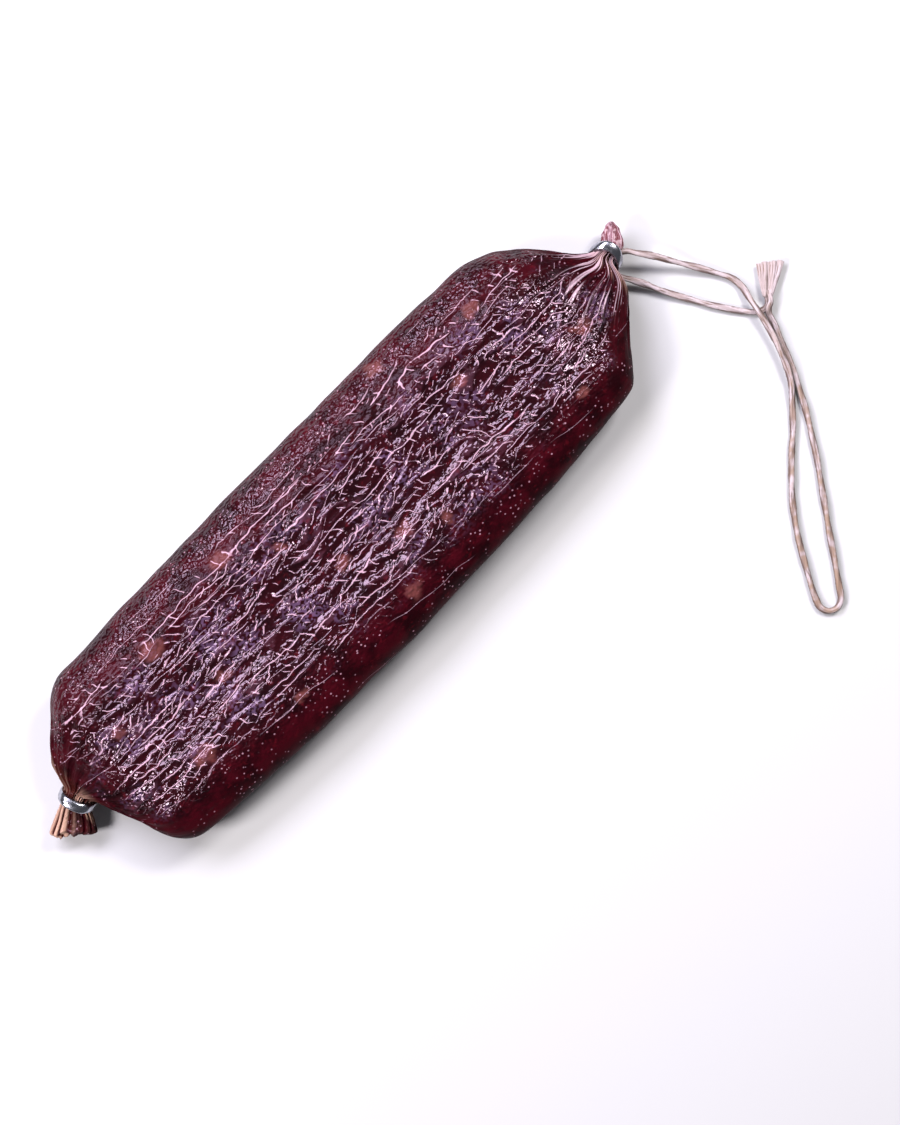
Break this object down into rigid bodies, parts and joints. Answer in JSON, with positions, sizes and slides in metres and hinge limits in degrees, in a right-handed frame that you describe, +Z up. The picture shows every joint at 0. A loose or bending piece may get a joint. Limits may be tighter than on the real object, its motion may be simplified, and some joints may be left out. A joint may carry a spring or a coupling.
{
  "type": "pressed dry-cured sausage",
  "caption": "Flat pressed dry-cured sausage in a wrinkled casing, clipped at both ends, with a knotted twine loop to hang it by.",
  "frame": {"origin": "on the surface that the sausage lies on, under the middle of the sausage and its two clips", "axes": "+X along the sausage to the end with the twine, +Y across it, +Z up through its thickness"},
  "size_m": [0.2503, 0.1393, 0.024],
  "materials": {
    "casing": "dry wrinkled casing over dark red meat, with a greasy sheen and paler flecks of fat",
    "clip_wire": "bright drawn wire, crimped",
    "twine": "natural two-ply twine, slightly greasy"
  },
  "bodies": {
    "root": {"sausage": "casing", "plain_clip": "clip_wire", "twine_clip": "clip_wire", "twine_over_strand": "twine", "twine_under_strand": "twine", "twine_hanging_loop": "twine", "twine_knot": "twine", "twine_brush": "twine"}
  },
  "joints": []
}
